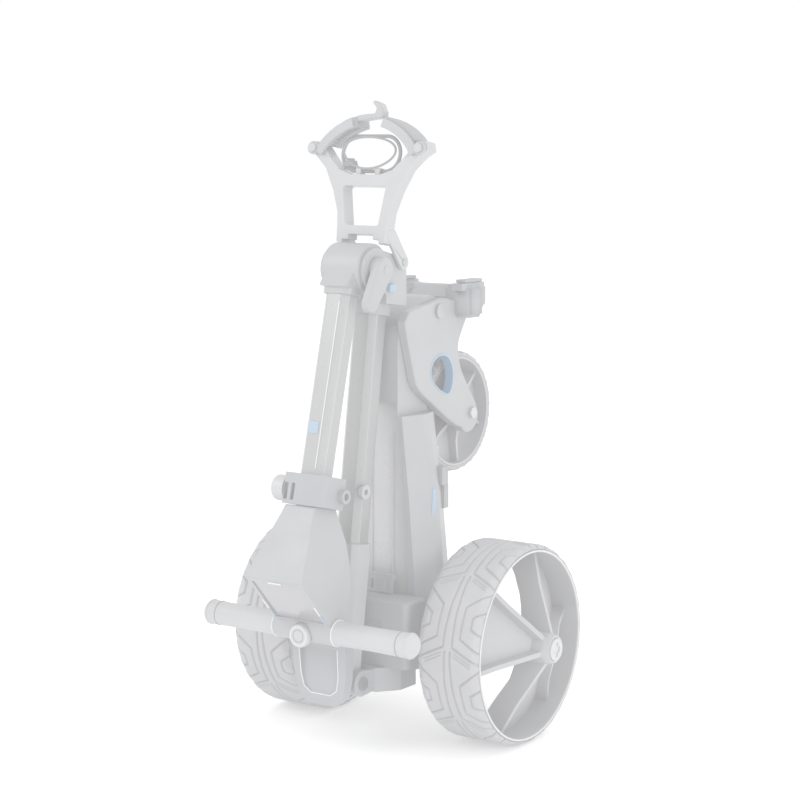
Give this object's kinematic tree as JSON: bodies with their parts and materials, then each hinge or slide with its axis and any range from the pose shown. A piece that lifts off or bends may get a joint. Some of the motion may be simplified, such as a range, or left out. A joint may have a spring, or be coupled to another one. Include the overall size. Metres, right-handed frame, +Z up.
{
  "type": "folding electric golf trolley",
  "caption": "Folded electric golf trolley with deep drive wheels, a folding front wheel, a two-part stem, a handle console and a bag support it hangs from.",
  "frame": {"origin": "middle of the hanging window in the bag support, halfway through its thickness", "axes": "+X to the trolley's right seen from its handle side, along the axle; +Y away from the handle side, into the wall it hangs on; +Z up as it hangs"},
  "size_m": [0.499, 0.491, 0.887],
  "materials": {
    "shell_plastic": "satin moulded plastic",
    "dark_plastic": "fine-grained plastic",
    "panel_plastic": "smooth",
    "stem_metal": "satin metallic paint",
    "bright_metal": "satin",
    "steel": "turned",
    "tyre_rubber": "moulded tread",
    "rim_plastic": "moulded",
    "grip_rubber": "matte, grained",
    "pad_rubber": "matte",
    "accent_blue": "smooth",
    "screen": "glossy",
    "cord": "woven sleeve",
    "board": "lacquered",
    "battery_case": "grained"
  },
  "bodies": {
    "chassis": {"chassis_frame": "shell_plastic", "chassis_rear_cover": "shell_plastic", "chassis_screws": "steel", "tray_panel": "panel_plastic", "stem_base": "dark_plastic", "axle_housing": "dark_plastic", "axle_caps": "dark_plastic", "gearmotors": "steel", "axle_bearings": "steel", "controller_board": "board", "battery": "battery_case", "flank_clip": "dark_plastic", "pivot_pins": "steel"},
    "battery_clip": {"battery_clip": "shell_plastic"},
    "fork": {"fork_leg_left": "shell_plastic", "fork_leg_right": "shell_plastic", "fork_hole_trims": "accent_blue", "lower_support": "dark_plastic", "support_pads": "pad_rubber", "front_axle": "bright_metal"},
    "front_wheel": {"front_tyre": "tyre_rubber", "front_wheel_rim": "rim_plastic"},
    "lower_stem": {"lower_stem_boot": "dark_plastic", "lower_stem_tube": "stem_metal", "mid_hinge_housing": "shell_plastic", "hinge_pins": "steel", "storage_peg": "bright_metal"},
    "hinge_lever": {"hinge_lever": "bright_metal"},
    "hinge_button": {"hinge_button": "accent_blue"},
    "bag_support": {"support_frame": "shell_plastic", "arm_screws": "steel", "bungee_loop": "cord"},
    "left_arm": {"support_arm_left": "panel_plastic", "arm_pad_left": "pad_rubber", "strap_hook": "dark_plastic"},
    "right_arm": {"support_arm_right": "panel_plastic", "arm_pad_right": "pad_rubber"},
    "upper_stem": {"upper_hinge_knuckle": "shell_plastic", "upper_stem_tube": "stem_metal", "stem_clamp": "dark_plastic", "console_body": "shell_plastic", "console_display": "screen", "handlebar_core": "steel", "grip_left": "grip_rubber", "grip_right": "grip_rubber", "tongue_cover": "shell_plastic"},
    "clamp_knob": {"clamp_knob": "dark_plastic"},
    "dial_cap": {"dial_cap": "dark_plastic", "dial_stem": "steel"},
    "left_drive": {"tyre_left": "tyre_rubber", "wheel_left": "rim_plastic", "wheel_shaft_left": "steel"},
    "right_drive": {"tyre_right": "tyre_rubber", "wheel_right": "rim_plastic", "wheel_shaft_right": "steel"},
    "left_release": {"wheel_button_left": "panel_plastic"},
    "right_release": {"wheel_button_right": "panel_plastic"}
  },
  "joints": [
    {"name": "stem_fold", "type": "hinge", "parent": "chassis", "child": "lower_stem", "pos_m": [0, -0.065, -0.649], "axis": [1, 0, 0], "range_deg": [0, 108]},
    {"name": "handle_fold", "type": "hinge", "parent": "lower_stem", "child": "upper_stem", "pos_m": [0, -0.03, -0.084], "axis": [-1, 0, 0], "range_deg": [0, 174]},
    {"name": "bag_support_fold", "type": "hinge", "parent": "lower_stem", "child": "bag_support", "pos_m": [0, 0.03, -0.077], "axis": [-1, 0, 0], "range_deg": [0, 78.5]},
    {"name": "fork_fold", "type": "hinge", "parent": "chassis", "child": "fork", "pos_m": [0, 0.106, -0.149], "axis": [1, 0, 0], "range_deg": [0, 118]},
    {"name": "front_wheel_spin", "type": "hinge", "parent": "fork", "child": "front_wheel", "pos_m": [0, 0.191, -0.302], "axis": [1, 0, 0], "continuous": true},
    {"name": "left_wheel_spin", "type": "hinge", "parent": "chassis", "child": "left_drive", "pos_m": [-0.16, 0.096, -0.604], "axis": [1, 0, 0], "continuous": true},
    {"name": "right_wheel_spin", "type": "hinge", "parent": "chassis", "child": "right_drive", "pos_m": [0.16, 0.096, -0.604], "axis": [1, 0, 0], "continuous": true},
    {"name": "left_release_press", "type": "slide", "parent": "left_drive", "child": "left_release", "axis": [1, 0, 0], "range_m": [0, 0.0035], "stiffness_N_per_m": 400, "springref_m": -0.002},
    {"name": "right_release_press", "type": "slide", "parent": "right_drive", "child": "right_release", "axis": [-1, 0, 0], "range_m": [0, 0.0035], "stiffness_N_per_m": 400, "springref_m": -0.002},
    {"name": "hinge_lever_turn", "type": "hinge", "parent": "lower_stem", "child": "hinge_lever", "pos_m": [0.045, -0.03, -0.084], "axis": [-1, 0, 0], "range_deg": [0, 55]},
    {"name": "hinge_button_press", "type": "slide", "parent": "lower_stem", "child": "hinge_button", "axis": [-1, 0, 0], "range_m": [0, 0.002], "stiffness_N_per_m": 300, "springref_m": -0.001},
    {"name": "left_arm_open", "type": "hinge", "parent": "bag_support", "child": "left_arm", "pos_m": [-0.0886, 0.00018, 0.07793], "axis": [0, -0.9901, 0.1406], "range_deg": [0, 75]},
    {"name": "right_arm_open", "type": "hinge", "parent": "bag_support", "child": "right_arm", "pos_m": [0.0886, 0.00018, 0.07793], "axis": [0, 0.9901, -0.1406], "range_deg": [0, 75]},
    {"name": "clamp_knob_turn", "type": "hinge", "parent": "upper_stem", "child": "clamp_knob", "pos_m": [-0.048, -0.128, -0.376], "axis": [1, 0, 0], "continuous": true},
    {"name": "dial_turn", "type": "hinge", "parent": "upper_stem", "child": "dial_cap", "pos_m": [0, -0.154, -0.568], "axis": [0, 1, 0], "continuous": true},
    {"name": "battery_clip_turn", "type": "hinge", "parent": "chassis", "child": "battery_clip", "pos_m": [0, 0.0185, -0.516], "axis": [-1, 0, 0], "range_deg": [0, 45]}
  ],
  "couplings": [
    {"joint": "bag_support_fold", "follows": "handle_fold", "ratio": 0.45},
    {"joint": "fork_fold", "follows": "stem_fold", "ratio": 1.092}
  ]
}
